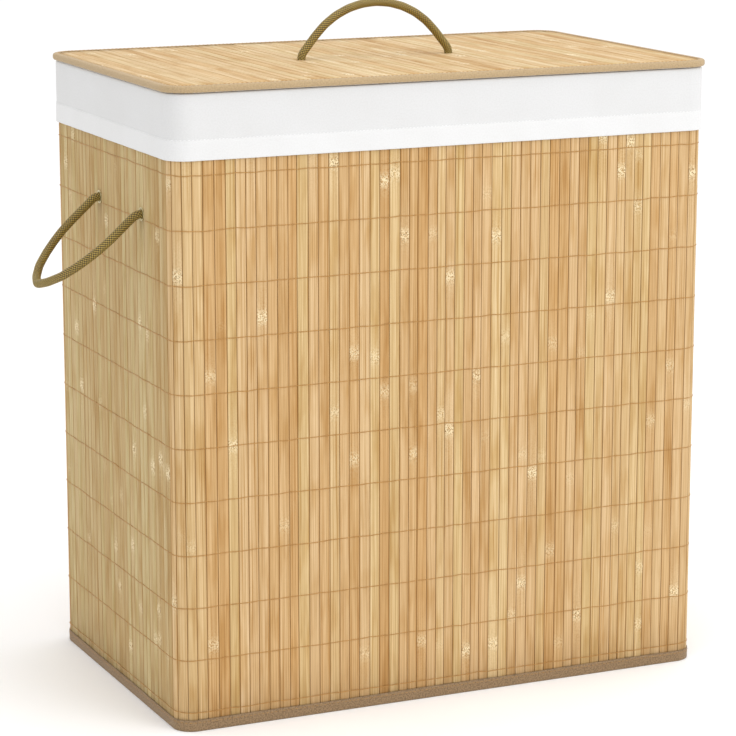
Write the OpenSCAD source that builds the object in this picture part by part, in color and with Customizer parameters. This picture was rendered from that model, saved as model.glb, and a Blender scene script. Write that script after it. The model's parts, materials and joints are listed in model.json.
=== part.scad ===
// A lidded laundry hamper: a tall box of stitched bamboo slats with a cloth liner,
// a hinged slatted lid and three rope handles.
// X runs from side to side, Y from front to back, Z up. The origin is on the floor,
// under the middle of the body.

/* [Body] */
// Width of the slat walls, side to side
body_w = 545; // [420:1:600]
// Depth of the slat walls, front to back
body_d = 330; // [300:1:420]
// Height of the liner's top edge, which the lid rests on
rim_h = 590; // [560:1:680]
// Outside radius of the upright corners
corner_r = 18; // [15:1:26]
// Thickness of the slat walls
wall_t = 3; // [2.5:0.1:3.5]
// Width that one slat takes up
slat_pitch = 10; // [8:0.5:14]

/* [Stitching] */
// Height of the lowest row of thread
thread_z0 = 18; // [14:1:24]
// Height from one row of thread to the next
thread_pitch = 49.9; // [49:0.1:60]

/* [Lid] */
// How far the lid stands out past the walls on each side
lid_overhang = 5; // [4:0.5:8]
// Outside radius of the lid's corners
lid_corner_r = 25; // [18:1:40]
// Thickness of the lid's fibreboard
lid_board_t = 2.5; // [2:0.1:4]

/* [Liner] */
// How far the liner's cuff hangs down outside the walls
cuff_drop = 60; // [50:1:68]
// Height of the double hem along the cuff's lower edge
hem_h = 18; // [12:1:24]

/* [Rope handles] */
// Diameter of the rope
rope_d = 8; // [6:0.5:8.5]
// Distance between the two holes of a side handle
side_span = 116; // [100:1:120]
// Height of the side handles' holes
side_hole_z = 472; // [440:1:480]
// How far the left handle is in front of the side's middle, and the right one behind it
side_forward = 25; // [0:1:30]
// Angle that a side handle droops from level
side_droop = 41.5; // [20:0.5:60]
// Distance between the two holes of the lid's handle
lid_span = 156; // [140:1:180]
// Height of the lid handle's arch above its ends
lid_arch_rise = 48; // [40:1:52]

/* [Hidden] */
$fn = 64;
cloth_t = 1;
tape_t = 0.8;
groove_w = 0.6;
groove_depth = 0.7;
seam = 0.4;

// Levels from the floor up
floor_tape_t = 1;
board_t = 3;
binding_h = 11;
wall_z0 = floor_tape_t;
wall_z1 = rim_h - 2 * cloth_t;
wall_h = wall_z1 - wall_z0;
board_z = floor_tape_t + cloth_t;
liner_floor_z = board_z + board_t;

// The wire frame in the top binding, measured inwards from the walls' outer face
wire_d = 4;
wire_in = 6;
wire_z = wall_z1 - 5;
wire_r = corner_r - wire_in;
joiner_d = 5.6;
joiner_len = 40;
binding_in = 9;

// The liner hangs this far inside the walls' outer face
liner_in = 10;
cuff_gap = tape_t + 0.1;
cuff_out = cuff_gap + cloth_t;
cuff_z = rim_h - cuff_drop;
hem_t = 0.5;

// Eyelets, and the knots inside them
eyelet_hole_d = rope_d + 1;
eyelet_d = 13;
barrel_d = eyelet_hole_d + 1;
flange_t = 0.7;
knot_r = 9;
side_knot_in = wall_t + flange_t + knot_r + 0.3;
liner_knot_in = side_knot_in + knot_r + 1;
liner_bend_top = rim_h - 30;
liner_bend_low = side_hole_z + 28;

// Lid levels
lid_w = body_w + 2 * lid_overhang;
lid_d = body_d + 2 * lid_overhang;
lid_tape_t = 0.6;
lid_cloth_t = 0.5;
lid_slat_t = 2.3;
lid_z = rim_h + 0.5;
lid_cloth_z = lid_z + lid_tape_t;
lid_board_z = lid_cloth_z + lid_cloth_t;
lid_slat_z = lid_board_z + lid_board_t;
lid_top_z = lid_slat_z + lid_slat_t;
lid_tape_top = lid_top_z + lid_tape_t;
lid_tape_w = 7;
lid_hole_d = rope_d + 1.5;
lid_knot_z = lid_z - knot_r - 0.3;

// The cloth hinge along the back
hinge_w = 480;
hinge_foot = 8.5;
hinge_y = body_d / 2 + cuff_out + 0.1;

// Rope ends that turn on the joints stand this far clear of the fixed ends
rope_gap = 0.3;
side_pivot_out = flange_t + rope_d / 2 + rope_gap;
lid_pivot_z = lid_top_z + rope_d / 2 + rope_gap;

// One half of a side handle's route: [distance from its middle, reach from the wall]
side_half = [
    [0.5 * side_span, 0], [57, 8], [57, 20], [57, 32], [55, 46], [50, 59],
    [43, 72], [32, 86], [16, 97]
];
side_route = concat(
    [for (p = side_half) [-p[0], p[1]]],
    [[0, 103]],
    [for (i = [len(side_half) - 1:-1:0]) side_half[i]]
);

// The lid handle is two straight legs at this slope, joined by a round arch
arch_slope = 51;
arch_steps = 10;
arch_r = (lid_span / 2 * tan(arch_slope) - lid_arch_rise) / (1 / cos(arch_slope) - 1);
lid_route = concat(
    [[-lid_span / 2, 0]],
    [for (i = [0:arch_steps]) let (a = arch_slope * (2 * i / arch_steps - 1))
        [arch_r * sin(a), lid_arch_rise - arch_r * (1 - cos(a))]],
    [[lid_span / 2, 0]]
);

BAMBOO = [0.84, 0.69, 0.48];
LID_BAMBOO = [0.88, 0.77, 0.60];
TAPE = [0.60, 0.49, 0.35];
THREAD = [0.62, 0.45, 0.25];
WHITE = [0.95, 0.95, 0.95];
ROPE = [0.60, 0.50, 0.24];
BRASS = [0.75, 0.68, 0.45];
STEEL = [0.62, 0.63, 0.65];
BOARD = [0.55, 0.42, 0.30];
LINING = [0.80, 0.76, 0.68];

// ---- Shared shapes ----

module round_rect(w, d, r) {
    square([w - 2 * r, d], center = true);
    square([w, d - 2 * r], center = true);
    for (x = [-1, 1], y = [-1, 1])
        translate([x * (w / 2 - r), y * (d / 2 - r)]) circle(r);
}

// A body-shaped plate whose edge is inset from the walls' outer face
module plate(inset, z, t) {
    translate([0, 0, z]) linear_extrude(t)
        round_rect(body_w - 2 * inset, body_d - 2 * inset, corner_r - inset);
}

// A body-shaped ring between two insets; a negative inset is outside the walls
module ring(outer, inner, z, h) {
    translate([0, 0, z]) linear_extrude(h) difference() {
        round_rect(body_w - 2 * outer, body_d - 2 * outer, corner_r - outer);
        round_rect(body_w - 2 * inner, body_d - 2 * inner, max(corner_r - inner, 1));
    }
}

module lid_plate(inset, z, t) {
    translate([0, 0, z]) linear_extrude(t)
        round_rect(lid_w - 2 * inset, lid_d - 2 * inset, lid_corner_r - inset);
}

// A flat run of slats, its outer face on Y = 0 facing -Y, marked by grooves
module slat_run(length, height, thickness) {
    count = round(length / slat_pitch);
    difference() {
        translate([-length / 2, 0, 0]) cube([length, thickness, height]);
        for (i = [1:count - 1])
            translate([-length / 2 + i * length / count - groove_w / 2, -1, -1])
                cube([groove_w, 1 + groove_depth, height + 2]);
    }
}

module side_wall(side) {
    difference() {
        translate([side * body_w / 2, 0, wall_z0]) rotate(side * 90)
            slat_run(body_d - 2 * corner_r - seam, wall_h, wall_t);
        for (y = [-1, 1])
            translate([side * (body_w / 2 - wall_t / 2), y * side_span / 2 + side * side_forward, side_hole_z])
                rotate([0, 90, 0]) cylinder(d = barrel_d + 0.2, h = wall_t + 2, center = true);
    }
}

// One slatted corner, a quarter turn about its own centre
module corner_run() {
    slats = 3;
    difference() {
        rotate_extrude(angle = 90) translate([corner_r - wall_t, 0]) square([wall_t, wall_h]);
        for (i = [1:slats - 1])
            rotate(i * 90 / slats) translate([corner_r - groove_depth, -groove_w / 2, -1])
                cube([groove_depth + 1, groove_w, wall_h + 2]);
    }
}

module eyelet_pair(side) {
    span_in = wall_t + flange_t;
    for (y = [-1, 1])
        translate([side * body_w / 2, y * side_span / 2 + side * side_forward, side_hole_z])
            rotate([0, side * 90, 0]) difference() {
                union() {
                    cylinder(d = eyelet_d, h = flange_t);
                    translate([0, 0, -span_in]) cylinder(d = barrel_d, h = span_in);
                    translate([0, 0, -span_in]) cylinder(d = eyelet_d, h = flange_t);
                }
                translate([0, 0, -span_in - 1]) cylinder(d = eyelet_hole_d, h = span_in + flange_t + 2);
            }
}

// A fixed rope end: a knot, its short tail, and the rope up to the hole's outer mouth.
// It lies along +Z with the knot's centre at the origin.
module knot_end(reach) {
    sphere(knot_r);
    cylinder(d = rope_d, h = reach);
    rotate([0, 100, 20]) cylinder(d = rope_d, h = knot_r + 6);
}

module side_knots(side) {
    for (y = [-1, 1])
        translate([side * (body_w / 2 - side_knot_in), y * side_span / 2 + side * side_forward, side_hole_z])
            rotate([0, side * 90, 0]) rotate(side * 90) knot_end(side_knot_in + flange_t);
}

// A round tube with rounded ends, swept along a route in the XZ plane
module flat_route_tube(route, r) {
    sides = 10;
    last = len(route) - 1;
    dirs = [for (i = [0:last]) let (d = route[min(i + 1, last)] - route[max(i - 1, 0)]) d / norm(d)];
    caps = [75, 50, 25];
    start = [for (a = caps) [route[0] - dirs[0] * r * sin(a), dirs[0], r * cos(a)]];
    end = [for (a = [25, 50, 75]) [route[last] + dirs[last] * r * sin(a), dirs[last], r * cos(a)]];
    rings = concat(start, [for (i = [0:last]) [route[i], dirs[i], r]], end);
    n = len(rings);
    points = [
        for (g = rings, k = [0:sides - 1])
            let (a = 360 * k / sides)
                [g[0][0] - g[1][1] * g[2] * cos(a), g[2] * sin(a), g[0][1] + g[1][0] * g[2] * cos(a)]
    ];
    faces = concat(
        [[for (k = [0:sides - 1]) k]],
        [for (i = [0:n - 2], k = [0:sides - 1])
            let (m = (k + 1) % sides)
                [i * sides + k, (i + 1) * sides + k, (i + 1) * sides + m, i * sides + m]],
        [[for (k = [sides - 1:-1:0]) (n - 1) * sides + k]]
    );
    polyhedron(points, faces, convexity = 6);
}

module side_handle(side) {
    translate([side * (body_w / 2 + side_pivot_out), side * side_forward, side_hole_z])
        rotate([0, 0, -side * 90]) rotate([-90 - side_droop, 0, 0])
            flat_route_tube(side_route, rope_d / 2);
}

// A corner-to-corner half of the top wire, on the side given
module frame_wire(side) {
    x = body_w / 2 - corner_r;
    y = body_d / 2 - corner_r;
    translate([0, 0, wire_z]) mirror([side > 0 ? 0 : 1, 0, 0]) {
        for (m = [-1, 1]) {
            translate([0.5, m * (y + wire_r), 0]) rotate([0, 90, 0]) cylinder(d = wire_d, h = x - 0.5);
            translate([x, m * y, 0]) rotate(m > 0 ? 0 : -90)
                rotate_extrude(angle = 90) translate([wire_r, 0]) circle(d = wire_d);
        }
        translate([x + wire_r, y, 0]) rotate([90, 0, 0]) cylinder(d = wire_d, h = 2 * y);
    }
}

// The upright outline of the liner's front and back, narrowed below the side handles' knots
module liner_outline() {
    top = body_w / 2 - liner_in;
    low = body_w / 2 - liner_knot_in;
    polygon([
        [-top, rim_h - cloth_t], [-top, liner_bend_top], [-low, liner_bend_low], [-low, liner_floor_z],
        [low, liner_floor_z], [low, liner_bend_low], [top, liner_bend_top], [top, rim_h - cloth_t]
    ]);
}

// Keeps the liner's upright corners inside the rounded corners of the top binding
module inside_binding() {
    inset = liner_in - 0.1;
    intersection() {
        children();
        linear_extrude(rim_h) round_rect(body_w - 2 * inset, body_d - 2 * inset, corner_r - inset);
    }
}

module liner_long_panel(side) {
    inside_binding() translate([0, side * (body_d / 2 - liner_in) + (side > 0 ? 0 : cloth_t), 0])
        rotate([90, 0, 0]) linear_extrude(cloth_t) liner_outline();
}

module liner_side_panel(side) {
    top = body_w / 2 - liner_in;
    low = body_w / 2 - liner_knot_in;
    depth = body_d - 2 * (liner_in + cloth_t);
    inside_binding() mirror([side > 0 ? 0 : 1, 0, 0]) translate([0, depth / 2, 0]) rotate([90, 0, 0])
        linear_extrude(depth) polygon([
            [top, rim_h - cloth_t], [top, liner_bend_top], [low, liner_bend_low], [low, liner_floor_z],
            [low - cloth_t, liner_floor_z], [low - cloth_t, liner_bend_low],
            [top - cloth_t, liner_bend_top], [top - cloth_t, rim_h - cloth_t]
        ]);
}

module lid_holes(z, t) {
    for (x = [-1, 1])
        translate([x * lid_span / 2, 0, z - 1]) cylinder(d = lid_hole_d, h = t + 2);
}

// ---- Sub-parts ----

module front_slats() {
    color(BAMBOO) translate([0, -body_d / 2, wall_z0])
        slat_run(body_w - 2 * corner_r - seam, wall_h, wall_t);
}

module back_slats() {
    color(BAMBOO) translate([0, body_d / 2, wall_z0]) rotate(180)
        slat_run(body_w - 2 * corner_r - seam, wall_h, wall_t);
}

module left_slats() {
    color(BAMBOO) side_wall(-1);
}

module right_slats() {
    color(BAMBOO) side_wall(1);
}

module corner_slats() {
    x = body_w / 2 - corner_r;
    y = body_d / 2 - corner_r;
    color(BAMBOO) for (c = [[x, y, 0], [-x, y, 90], [-x, -y, 180], [x, -y, 270]])
        translate([c[0], c[1], wall_z0]) rotate(c[2]) corner_run();
}

module stitch_threads() {
    rows = floor((wall_z1 - thread_z0) / thread_pitch);
    color(THREAD) difference() {
        for (i = [0:rows]) ring(-0.5, 0, thread_z0 + i * thread_pitch - 0.6, 1.2);
        for (s = [-1, 1], y = [-1, 1])
            translate([s * body_w / 2, y * side_span / 2 + s * side_forward, side_hole_z])
                rotate([0, 90, 0]) cylinder(d = eyelet_d + 1, h = 4, center = true);
    }
}

module bottom_binding() {
    color(TAPE) difference() {
        ring(-tape_t, wall_t + tape_t, 0, binding_h);
        ring(0, wall_t, floor_tape_t, binding_h);
    }
}

module bottom_cloth() {
    color(LINING) plate(wall_t + tape_t, floor_tape_t, cloth_t);
}

module base_board() {
    color(BOARD) plate(wall_t + tape_t + 0.5, board_z, board_t);
}

module top_binding() {
    color(TAPE) difference() {
        ring(-tape_t, binding_in + tape_t, wall_z1 - binding_h + cloth_t, binding_h);
        ring(0, binding_in, wall_z1 - binding_h, binding_h);
    }
}

module frame_wire_left() {
    color(STEEL) frame_wire(-1);
}

module frame_wire_right() {
    color(STEEL) frame_wire(1);
}

module frame_joiners() {
    color(STEEL) for (m = [-1, 1])
        translate([0, m * (body_d / 2 - wire_in), wire_z]) rotate([0, 90, 0]) difference() {
            cylinder(d = joiner_d, h = joiner_len, center = true);
            cylinder(d = wire_d + 0.2, h = joiner_len + 2, center = true);
        }
}

module liner_floor() {
    w = body_w - 2 * (liner_knot_in + cloth_t);
    d = body_d - 2 * (liner_in + cloth_t);
    color(WHITE) translate([-w / 2, -d / 2, liner_floor_z]) cube([w, d, cloth_t]);
}

module liner_front() {
    color(WHITE) liner_long_panel(-1);
}

module liner_back() {
    color(WHITE) liner_long_panel(1);
}

module liner_left() {
    color(WHITE) liner_side_panel(-1);
}

module liner_right() {
    color(WHITE) liner_side_panel(1);
}

module liner_cuff() {
    color(WHITE) {
        ring(-cuff_out, -cuff_gap, cuff_z, cuff_drop);
        ring(-cuff_out - hem_t, -cuff_gap, cuff_z, hem_h);
        ring(-cuff_out, liner_in + cloth_t, rim_h - cloth_t, cloth_t);
    }
}

module left_eyelets() {
    color(BRASS) eyelet_pair(-1);
}

module right_eyelets() {
    color(BRASS) eyelet_pair(1);
}

module left_rope_knots() {
    color(ROPE) side_knots(-1);
}

module right_rope_knots() {
    color(ROPE) side_knots(1);
}

module left_handle_rope() {
    color(ROPE) side_handle(-1);
}

module right_handle_rope() {
    color(ROPE) side_handle(1);
}

module hinge_strip_wall() {
    wall_y = body_d / 2;
    foot_z = cuff_z - 3 - hinge_foot;
    color(WHITE) translate([-hinge_w / 2, 0, 0]) rotate([90, 0, 90]) linear_extrude(hinge_w) polygon([
        [wall_y, foot_z], [wall_y + cloth_t, foot_z], [wall_y + cloth_t, foot_z + hinge_foot],
        [hinge_y + hem_t + cloth_t, cuff_z - 0.5], [hinge_y + hem_t + cloth_t, cuff_z + hem_h],
        [hinge_y + cloth_t, cuff_z + hem_h + 3], [hinge_y + cloth_t, rim_h - 0.5], [hinge_y, rim_h - 0.5],
        [hinge_y, cuff_z + hem_h + 3], [hinge_y + hem_t, cuff_z + hem_h],
        [hinge_y + hem_t, cuff_z - 0.5], [wall_y, foot_z + hinge_foot]
    ]);
}

module lid_board() {
    color(BOARD) difference() {
        lid_plate(1, lid_board_z, lid_board_t);
        lid_holes(lid_board_z, lid_board_t);
    }
}

module lid_slats() {
    length = lid_w - 2;
    count = round(length / slat_pitch);
    color(LID_BAMBOO) difference() {
        lid_plate(1, lid_slat_z, lid_slat_t);
        for (i = [1:count - 1])
            translate([-length / 2 + i * length / count - 0.2, -lid_d / 2 - 1, lid_top_z - 0.4])
                cube([0.4, lid_d + 2, 2]);
        lid_holes(lid_slat_z, lid_slat_t);
    }
}

module lid_edge_binding() {
    color(TAPE) difference() {
        lid_plate(0, lid_z, lid_tape_top - lid_z);
        lid_plate(lid_tape_w, lid_z - 1, lid_tape_top - lid_z + 2);
        lid_plate(tape_t, lid_cloth_z, lid_top_z - lid_cloth_z);
    }
}

module lid_underside_cloth() {
    color(LINING) difference() {
        lid_plate(1, lid_cloth_z, lid_cloth_t);
        lid_holes(lid_cloth_z, lid_cloth_t);
    }
}

module lid_rope_knots() {
    color(ROPE) for (x = [-1, 1])
        translate([x * lid_span / 2, 0, lid_knot_z]) rotate(x * 90 + 90) knot_end(lid_top_z - lid_knot_z);
}

module hinge_strip_lid() {
    color(WHITE) translate([-hinge_w / 2, lid_d / 2, lid_z]) cube([hinge_w, cloth_t, lid_tape_top - lid_z]);
}

module lid_handle_rope() {
    color(ROPE) translate([0, 0, lid_pivot_z]) flat_route_tube(lid_route, rope_d / 2);
}

front_slats();
back_slats();
left_slats();
right_slats();
corner_slats();
stitch_threads();
bottom_binding();
bottom_cloth();
base_board();
top_binding();
frame_wire_left();
frame_wire_right();
frame_joiners();
liner_floor();
liner_front();
liner_back();
liner_left();
liner_right();
liner_cuff();
left_eyelets();
right_eyelets();
left_rope_knots();
right_rope_knots();
left_handle_rope();
right_handle_rope();
hinge_strip_wall();
lid_board();
lid_slats();
lid_edge_binding();
lid_underside_cloth();
lid_rope_knots();
hinge_strip_lid();
lid_handle_rope();
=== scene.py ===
"""Looks of a lidded laundry hamper: stitched bamboo slats, a cotton liner and rope handles.

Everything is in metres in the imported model's own frame: X from side to side, Y from front
to back, Z up, with the origin on the floor under the middle of the body.
"""
import enum
import json
import logging
import math
from collections.abc import Callable
from dataclasses import dataclass, field

import bpy
import numpy as np
from numpy import ndarray
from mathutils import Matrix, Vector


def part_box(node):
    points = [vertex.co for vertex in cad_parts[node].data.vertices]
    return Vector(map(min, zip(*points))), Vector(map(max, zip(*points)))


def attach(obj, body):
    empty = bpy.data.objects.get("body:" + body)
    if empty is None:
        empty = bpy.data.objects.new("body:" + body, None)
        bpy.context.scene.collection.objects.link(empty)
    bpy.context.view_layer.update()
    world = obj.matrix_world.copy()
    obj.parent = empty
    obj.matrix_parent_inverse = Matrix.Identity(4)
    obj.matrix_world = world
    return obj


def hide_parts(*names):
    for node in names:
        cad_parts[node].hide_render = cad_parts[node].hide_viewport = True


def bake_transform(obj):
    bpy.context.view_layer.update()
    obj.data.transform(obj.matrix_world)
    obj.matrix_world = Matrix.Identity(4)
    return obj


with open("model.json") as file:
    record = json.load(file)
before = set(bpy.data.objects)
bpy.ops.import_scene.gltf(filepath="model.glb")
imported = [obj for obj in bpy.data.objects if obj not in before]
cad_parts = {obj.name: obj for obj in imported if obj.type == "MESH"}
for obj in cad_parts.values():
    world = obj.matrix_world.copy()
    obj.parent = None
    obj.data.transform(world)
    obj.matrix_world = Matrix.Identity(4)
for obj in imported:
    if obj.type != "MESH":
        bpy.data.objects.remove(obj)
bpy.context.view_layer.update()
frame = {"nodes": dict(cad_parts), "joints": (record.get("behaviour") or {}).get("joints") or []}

MM = 0.001
LOG = logging.getLogger("hamper")
MAT_SEED, BAG_SEED, LID_SEED = 11, 23, 5


class Side(enum.Enum):
    """The two sides that carry a rope handle, each with its sign along X."""

    LEFT = -1
    RIGHT = 1


class Way(enum.Enum):
    """How a piece's surface closes: its rings join in a loop, or its ends are covered or open."""

    LOOP = "loop"
    CAPPED = "capped"
    LAST_CAPPED = "last capped"


# ---- Surfaces ----


@dataclass
class Skin:
    """A surface of one or more tubes, each a stack of rings whose sides close round.

    Attributes:
        points: places, in the order tube, ring, side, then x, y, z.
        way: how the rings end.
        values: numbers for the finish, by name, one for each point or able to spread to it.
        chart: flat cloth or wood coordinates in metres, with one more side than the points
            have, so that they don't run backwards where the sides close. With a loop, it also
            has one more ring.
    """

    points: ndarray
    way: Way = Way.CAPPED
    values: dict[str, ndarray] = field(default_factory=dict)
    chart: ndarray | None = None

    def corners(self) -> tuple[list[ndarray], list[ndarray]]:
        """Lists the faces by point number, and the same faces by chart number.

        A face joins side j to side j + 1 of one ring, and goes back along the next ring.

        Returns:
            Blocks of faces in the points' numbers, and the matching blocks in the chart's.
        """
        tubes, rings, sides = self.points.shape[:3]
        looped = self.way is Way.LOOP
        number = np.arange(tubes * rings * sides).reshape(tubes, rings, sides)
        wide = np.concatenate([number, number[:, :, :1]], axis=2)
        if looped:
            wide = np.concatenate([wide, wide[:, :1]], axis=1)
        flat = np.arange(wide.size).reshape(wide.shape)
        blocks = [
            np.stack([n[:, :-1, :-1], n[:, :-1, 1:], n[:, 1:, 1:], n[:, 1:, :-1]], axis=-1).reshape(-1, 4)
            for n in (wide, flat)
        ]
        faces, charted = [blocks[0]], [blocks[1]]
        if not looped:
            faces.append(number[:, -1])
            charted.append(flat[:, -1, :-1])
        if self.way is Way.CAPPED:
            faces.append(number[:, 0, ::-1])
            charted.append(flat[:, 0, -2::-1])
        if self.way is not Way.LAST_CAPPED and self.volume(blocks[0]) < 0:
            faces, charted = [f[:, ::-1] for f in faces], [c[:, ::-1] for c in charted]
        return faces, charted

    def volume(self, quads: ndarray) -> float:
        """Six times the signed volume: the sum of a . (b x c) over the halves of each face."""
        a, b, c, d = (self.points.reshape(-1, 3)[quads[:, i]] for i in range(4))
        return float((a * np.cross(b, c)).sum() + (a * np.cross(c, d)).sum())

    def build(self, name: str) -> bpy.types.Object:
        """Puts the surface into a new mesh object at the origin.

        Args:
            name: the piece's name.

        Returns:
            The new object, smooth shaded, with its values and its chart.
        """
        faces, charted = self.corners()
        mesh = bpy.data.meshes.new(name)
        mesh.from_pydata(self.points.reshape(-1, 3).tolist(), [], [f for block in faces for f in block.tolist()])
        for key, value in self.values.items():
            spread = np.broadcast_to(value, self.points.shape[:3]).astype(np.float32)
            mesh.attributes.new(key, "FLOAT", "POINT").data.foreach_set("value", spread.ravel())
        if self.chart is not None:
            places = self.chart.reshape(-1, 2)[np.concatenate([block.ravel() for block in charted])]
            mesh.uv_layers.new(name="chart").uv.foreach_set("vector", places.astype(np.float32).ravel())
        mesh.shade_smooth()
        made = bpy.data.objects.new(name, mesh)
        bpy.context.scene.collection.objects.link(made)
        return made


@dataclass(frozen=True)
class Outline:
    """A rectangle with round corners, followed anticlockwise from the left end of its front.

    Attributes:
        half_w: half its width, along X.
        half_d: half its depth, along Y.
        radius: the radius of its corners.
    """

    half_w: float
    half_d: float
    radius: float

    def stops(self) -> ndarray:
        """Distances along the edge where its straight stretches and corners meet, from 0 to all of it."""
        wide, deep = 2 * (self.half_w - self.radius), 2 * (self.half_d - self.radius)
        arc = math.pi / 2 * self.radius
        return np.cumsum([0, wide, arc, deep, arc, wide, arc, deep, arc])

    @property
    def total(self) -> float:
        """The whole distance round the edge."""
        return float(self.stops()[-1])

    def ring(self, s: ndarray, half_w: ndarray, half_d: ndarray, radius: ndarray, z: ndarray) -> ndarray:
        """Places on a rounded rectangle of another size that keeps this one's distances.

        A place is the corner centre's share of the way along a side, plus the radius times
        (cos, sin) of the direction that the edge faces.

        Args:
            s: distance along this outline's edge.
            half_w: half the width of the ring.
            half_d: half its depth.
            radius: its corner radius.
            z: its height.

        Returns:
            Places, with x, y, z last.
        """
        stops = self.stops()
        at = np.mod(s, stops[-1])
        across = np.interp(at, stops, [-1, 1, 1, 1, 1, -1, -1, -1, -1])
        along = np.interp(at, stops, [-1, -1, -1, 1, 1, 1, 1, -1, -1])
        facing = np.interp(at, stops, np.radians([-90, -90, 0, 0, 90, 90, 180, 180, 270]))
        x = across * (half_w - radius) + radius * np.cos(facing)
        y = along * (half_d - radius) + radius * np.sin(facing)
        return np.stack(np.broadcast_arrays(x, y, z), axis=-1)

    def place(self, s: ndarray, out: ndarray, z: ndarray) -> ndarray:
        """Places at a distance out from the edge, at distance s along it and height z."""
        return self.ring(s, self.half_w + out, self.half_d + out, self.radius + out, z)

    def spaced(self, count: int) -> ndarray:
        """Distances of a number of equal steps round the edge."""
        return np.arange(count) * self.total / count

    def half_depth_at(self, x: ndarray, inset: float) -> ndarray:
        """Half the depth at x of the outline drawn inset: flat, then the corner's circle."""
        radius = self.radius - inset
        past = np.clip(np.abs(x) - (self.half_w - self.radius), 0, radius)
        return self.half_d - self.radius + np.sqrt(radius**2 - past**2)


def running_mean(line: ndarray, width: int) -> ndarray:
    """Rounds a line's kinks: each point becomes the mean of its neighbours, with the ends kept.

    Args:
        line: evenly spaced points.
        width: how many points the mean takes in, an odd number.

    Returns:
        The rounded line, with as many points.
    """
    half = width // 2
    lead = 2 * line[0] - line[half:0:-1]
    tail = 2 * line[-1] - line[-2:-half - 2:-1]
    whole = np.concatenate([lead, line, tail])
    kernel = np.ones(width) / width
    return np.stack([np.convolve(whole[:, i], kernel, "valid") for i in range(3)], axis=-1)


def even_line(points: ndarray, step: float) -> ndarray:
    """Points at equal steps along straight stretches between the given ones."""
    far = np.concatenate([[0], np.cumsum(np.linalg.norm(np.diff(points, axis=0), axis=1))])
    at = np.linspace(0, far[-1], max(2, round(far[-1] / step) + 1))
    return np.stack([np.interp(at, far, points[:, i]) for i in range(3)], axis=-1)


def length_of(line: ndarray) -> float:
    """The distance along a line of points."""
    return float(np.linalg.norm(np.diff(line, axis=0), axis=1).sum())


def tube_frame(line: ndarray, guide: ndarray) -> tuple[ndarray, ndarray]:
    """Two unit directions square to a line: the guide less its part along the line, and their cross product.

    Args:
        line: points along the middle of a tube.
        guide: a direction that is never along the line.

    Returns:
        The two directions at each point.
    """
    ahead = np.gradient(line, axis=0)
    ahead /= np.linalg.norm(ahead, axis=1, keepdims=True)
    first = guide - (ahead @ guide)[:, None] * ahead
    first /= np.linalg.norm(first, axis=1, keepdims=True)
    return first, np.cross(ahead, first)


def ride_as(piece: bpy.types.Object, body: str, slot: str, *replaced: str) -> bpy.types.Object:
    """Lets a piece ride on a body and stand for CAD nodes, which it hides."""
    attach(piece, body)
    if replaced:
        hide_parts(*replaced)
    return piece


# ---- Finishes ----


def linear(colour: str) -> tuple[float, float, float, float]:
    """Turns an sRGB hex colour into linear red, green, blue and 1."""
    srgb = np.array([int(colour[i:i + 2], 16) for i in (1, 3, 5)]) / 255
    rgb = np.where(srgb <= 0.04045, srgb / 12.92, ((srgb + 0.055) / 1.055) ** 2.4)
    return (*rgb.tolist(), 1.0)


class Recipe:
    """A material under construction: one Principled shader, and nodes added one at a time."""

    def __init__(self, name: str, **settings: object) -> None:
        """Starts a material.

        Args:
            name: the real material's name.
            settings: constant values for the shader's sockets, with _ for a space.
        """
        self.material = bpy.data.materials.new(name)
        self.material.use_nodes = True
        self.tree = self.material.node_tree
        self.shader = self.tree.nodes["Principled BSDF"]
        for key, value in settings.items():
            self.shader.inputs[key.replace("_", " ")].default_value = value

    def add(self, kind: str, settings: dict | None = None, links: dict | None = None) -> bpy.types.Node:
        """Adds a node.

        Args:
            kind: the node's type, without "ShaderNode".
            settings: its properties, or default values of its inputs by name or number.
            links: for an input by name or number, the output that feeds it.

        Returns:
            The new node.
        """
        node = self.tree.nodes.new("ShaderNode" + kind)
        for key, value in (settings or {}).items():
            if isinstance(key, str) and hasattr(node, key):
                setattr(node, key, value)
            else:
                node.inputs[key].default_value = value
        for key, source in (links or {}).items():
            self.tree.links.new(source, node.inputs[key])
        return node

    def feed(self, **sources: bpy.types.NodeSocket) -> None:
        """Links outputs to the shader's sockets, named with _ for a space."""
        for key, source in sources.items():
            self.tree.links.new(source, self.shader.inputs[key.replace("_", " ")])

    def ramp(self, value: bpy.types.NodeSocket, *stops: tuple[float, str]) -> bpy.types.NodeSocket:
        """A colour for each value, from (place, hex colour) stops.

        Args:
            value: the output that is read.
            stops: places from 0 to 1, each with its colour.

        Returns:
            The colour output.
        """
        node = self.add("ValToRGB", links={0: value})
        marks = node.color_ramp.elements
        for place, _ in stops[2:]:
            marks.new(place)
        for mark, (place, colour) in zip(marks, stops):
            mark.position, mark.color = place, linear(colour)
        return node.outputs[0]

    def blend(self, share: object, low: object, high: object, mode: str = "MIX") -> bpy.types.NodeSocket:
        """A colour mix; each of the three is an output, or a number or hex colour.

        Args:
            share: how much of high there is.
            low: the colour underneath.
            high: the colour on top.
            mode: how high is laid on low.

        Returns:
            The colour output.
        """
        settings = {"data_type": "RGBA", "blend_type": mode}
        links = {}
        for key, part in ((0, share), (6, low), (7, high)):
            if isinstance(part, bpy.types.NodeSocket):
                links[key] = part
            else:
                settings[key] = linear(part) if isinstance(part, str) else part
        return self.add("Mix", settings, links).outputs[2]

    def bump(self, height: bpy.types.NodeSocket, depth: float, strength: float) -> None:
        """Gives the shader relief, with a depth in metres and a strength from 0 to 1."""
        node = self.add("Bump", {"Distance": depth, "Strength": strength}, {"Height": height})
        self.feed(Normal=node.outputs[0])


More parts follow.
